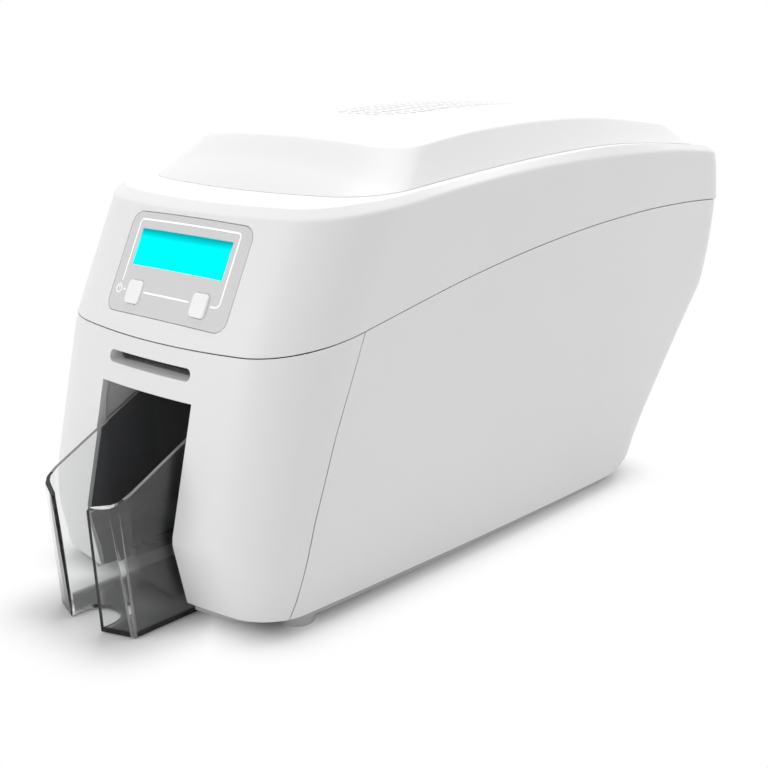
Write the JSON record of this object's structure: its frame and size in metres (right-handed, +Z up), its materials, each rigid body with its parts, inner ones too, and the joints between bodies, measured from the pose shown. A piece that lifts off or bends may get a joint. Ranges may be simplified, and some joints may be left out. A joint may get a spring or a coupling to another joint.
{
  "type": "card printer",
  "caption": "Desktop plastic-card printer with a rear-hinged lid, sloping display panel, hand-feed slot and clear card tray.",
  "frame": {"origin": "middle of the footprint box on the table, under the whole part with its tray", "axes": "+X to the right seen from the front, +Y to the back, +Z up"},
  "size_m": [0.2056, 0.482, 0.2439],
  "materials": {
    "base_pan": "satin",
    "front_fascia": "fine texture",
    "left_side_panel": "fine texture",
    "right_side_panel": "fine texture",
    "rear_panel": "fine texture",
    "rubber_feet": "matt",
    "frame_plate_left": "zinc plated",
    "frame_plate_right": "zinc plated",
    "frame_tie_bars": "turned",
    "hopper_bay_liner": "matt",
    "feed_slot_liner": "matt",
    "card_guide": "matt",
    "circuit_board": "solder mask",
    "board_parts": "matt",
    "connector_plate": "plated",
    "power_inlet": "matt",
    "usb_socket": "plated",
    "network_socket": "plated",
    "drive_motor": "satin",
    "hinge_pins": "ground",
    "ball_catches": "plated",
    "dye_film_web": "thin film",
    "card_tray": "smoked clear acrylic",
    "feed_roller": "matt",
    "feed_gear": "acetal",
    "drive_roller": "matt",
    "drive_gear": "acetal",
    "platen_roller": "matt",
    "platen_gear": "acetal",
    "exit_roller": "matt",
    "exit_gear": "acetal",
    "idler_gear_front": "acetal",
    "idler_gear_middle": "acetal",
    "idler_gear_rear": "acetal",
    "motor_pinion": "machined",
    "cleaning_roller": "tacky",
    "pinch_roller_front": "matt",
    "pinch_roller_rear": "matt",
    "supply_spool": "moulded",
    "supply_film": "thin film",
    "take_up_spool": "moulded",
    "take_up_film": "thin film",
    "take_up_gear": "acetal",
    "lid_shell": "fine texture",
    "top_cover": "fine texture",
    "lid_chassis": "zinc plated",
    "lid_hinge_arms": "cast",
    "lid_tongues": "zinc plated",
    "display_frame": "moulded",
    "control_panel_plate": "printed film",
    "display_window": "lit",
    "display_module": "matt",
    "control_board": "solder mask",
    "button_left": "satin",
    "button_right": "satin",
    "printhead_bracket": "plated",
    "printhead_carrier": "satin",
    "printhead_heatsink": "extruded",
    "fan_housing": "matt",
    "fan_impeller": "matt"
  },
  "bodies": {
    "chassis": {"base_pan": "base_pan", "front_fascia": "front_fascia", "left_side_panel": "left_side_panel", "right_side_panel": "right_side_panel", "rear_panel": "rear_panel", "rubber_feet": "rubber_feet", "frame_plate_left": "frame_plate_left", "frame_plate_right": "frame_plate_right", "frame_tie_bars": "frame_tie_bars", "hopper_bay_liner": "hopper_bay_liner", "feed_slot_liner": "feed_slot_liner", "card_guide": "card_guide", "circuit_board": "circuit_board", "board_parts": "board_parts", "connector_plate": "connector_plate", "power_inlet": "power_inlet", "usb_socket": "usb_socket", "network_socket": "network_socket", "drive_motor": "drive_motor", "hinge_pins": "hinge_pins", "ball_catches": "ball_catches", "dye_film_web": "dye_film_web"},
    "lid": {"lid_shell": "lid_shell", "top_cover": "top_cover", "lid_chassis": "lid_chassis", "lid_hinge_arms": "lid_hinge_arms", "lid_tongues": "lid_tongues", "display_frame": "display_frame", "control_panel_plate": "control_panel_plate", "display_window": "display_window", "display_module": "display_module", "control_board": "control_board", "printhead_bracket": "printhead_bracket", "fan_housing": "fan_housing"},
    "tray": {"card_tray": "card_tray"},
    "button_a": {"button_left": "button_left"},
    "button_b": {"button_right": "button_right"},
    "print_head": {"printhead_carrier": "printhead_carrier", "printhead_heatsink": "printhead_heatsink"},
    "fan_rotor": {"fan_impeller": "fan_impeller"},
    "feed_axle": {"feed_roller": "feed_roller", "feed_gear": "feed_gear"},
    "drive_axle": {"drive_roller": "drive_roller", "drive_gear": "drive_gear"},
    "platen_axle": {"platen_roller": "platen_roller", "platen_gear": "platen_gear"},
    "exit_axle": {"exit_roller": "exit_roller", "exit_gear": "exit_gear"},
    "idler_front": {"idler_gear_front": "idler_gear_front"},
    "idler_middle": {"idler_gear_middle": "idler_gear_middle"},
    "idler_rear": {"idler_gear_rear": "idler_gear_rear"},
    "pinion": {"motor_pinion": "motor_pinion"},
    "cleaning_axle": {"cleaning_roller": "cleaning_roller"},
    "pinch_front": {"pinch_roller_front": "pinch_roller_front"},
    "pinch_rear": {"pinch_roller_rear": "pinch_roller_rear"},
    "supply_reel": {"supply_spool": "supply_spool", "supply_film": "supply_film"},
    "take_up_reel": {"take_up_spool": "take_up_spool", "take_up_film": "take_up_film", "take_up_gear": "take_up_gear"}
  },
  "joints": [
    {"name": "lid_open", "type": "hinge", "parent": "chassis", "child": "lid", "pos_m": [0, 0.224, 0.1645], "axis": [-1, 0, 0], "range_deg": [0, 60]},
    {"name": "tray_slide", "type": "slide", "parent": "chassis", "child": "tray", "axis": [0, -1, 0], "range_m": [0, 0.05]},
    {"name": "button_a_press", "type": "slide", "parent": "lid", "child": "button_a", "axis": [0, 0.9007, -0.4345], "range_m": [0, 0.0008], "stiffness_N_per_m": 400},
    {"name": "button_b_press", "type": "slide", "parent": "lid", "child": "button_b", "axis": [0, 0.9007, -0.4345], "range_m": [0, 0.0008], "stiffness_N_per_m": 400},
    {"name": "head_lift", "type": "hinge", "parent": "lid", "child": "print_head", "pos_m": [0, 0.013, 0.163], "axis": [-1, 0, 0], "range_deg": [0, 4], "stiffness_Nm_per_rad": 1.5},
    {"name": "fan_spin", "type": "hinge", "parent": "lid", "child": "fan_rotor", "pos_m": [0, 0.06, 0.195], "axis": [0, 0, 1], "continuous": true},
    {"name": "platen_spin", "type": "hinge", "parent": "chassis", "child": "platen_axle", "pos_m": [0, -0.004, 0.118], "axis": [1, 0, 0], "continuous": true},
    {"name": "feed_spin", "type": "hinge", "parent": "chassis", "child": "feed_axle", "pos_m": [0, -0.124, 0.118], "axis": [1, 0, 0], "continuous": true},
    {"name": "drive_spin", "type": "hinge", "parent": "chassis", "child": "drive_axle", "pos_m": [0, -0.064, 0.118], "axis": [1, 0, 0], "continuous": true},
    {"name": "exit_spin", "type": "hinge", "parent": "chassis", "child": "exit_axle", "pos_m": [0, 0.056, 0.118], "axis": [1, 0, 0], "continuous": true},
    {"name": "idler_front_spin", "type": "hinge", "parent": "chassis", "child": "idler_front", "pos_m": [0, -0.094, 0.118], "axis": [1, 0, 0], "continuous": true},
    {"name": "idler_middle_spin", "type": "hinge", "parent": "chassis", "child": "idler_middle", "pos_m": [0, -0.034, 0.118], "axis": [1, 0, 0], "continuous": true},
    {"name": "idler_rear_spin", "type": "hinge", "parent": "chassis", "child": "idler_rear", "pos_m": [0, 0.026, 0.118], "axis": [1, 0, 0], "continuous": true},
    {"name": "pinion_spin", "type": "hinge", "parent": "chassis", "child": "pinion", "pos_m": [0, 0.026, 0.094], "axis": [1, 0, 0], "continuous": true},
    {"name": "take_up_spin", "type": "hinge", "parent": "chassis", "child": "take_up_reel", "pos_m": [0, -0.044, 0.15154], "axis": [1, 0, 0], "continuous": true},
    {"name": "supply_spin", "type": "hinge", "parent": "chassis", "child": "supply_reel", "pos_m": [0, 0.042, 0.159], "axis": [1, 0, 0], "continuous": true},
    {"name": "cleaning_spin", "type": "hinge", "parent": "chassis", "child": "cleaning_axle", "pos_m": [0, -0.124, 0.1321], "axis": [1, 0, 0], "continuous": true},
    {"name": "pinch_front_spin", "type": "hinge", "parent": "chassis", "child": "pinch_front", "pos_m": [0, -0.064, 0.1321], "axis": [1, 0, 0], "continuous": true},
    {"name": "pinch_rear_spin", "type": "hinge", "parent": "chassis", "child": "pinch_rear", "pos_m": [0, 0.056, 0.1321], "axis": [1, 0, 0], "continuous": true}
  ],
  "couplings": [
    {"joint": "feed_spin", "follows": "platen_spin", "ratio": 1},
    {"joint": "drive_spin", "follows": "platen_spin", "ratio": 1},
    {"joint": "exit_spin", "follows": "platen_spin", "ratio": 1},
    {"joint": "idler_front_spin", "follows": "platen_spin", "ratio": -0.66667},
    {"joint": "idler_middle_spin", "follows": "platen_spin", "ratio": -0.66667},
    {"joint": "idler_rear_spin", "follows": "platen_spin", "ratio": -0.66667},
    {"joint": "pinion_spin", "follows": "platen_spin", "ratio": 2},
    {"joint": "take_up_spin", "follows": "platen_spin", "ratio": 0.70588}
  ]
}
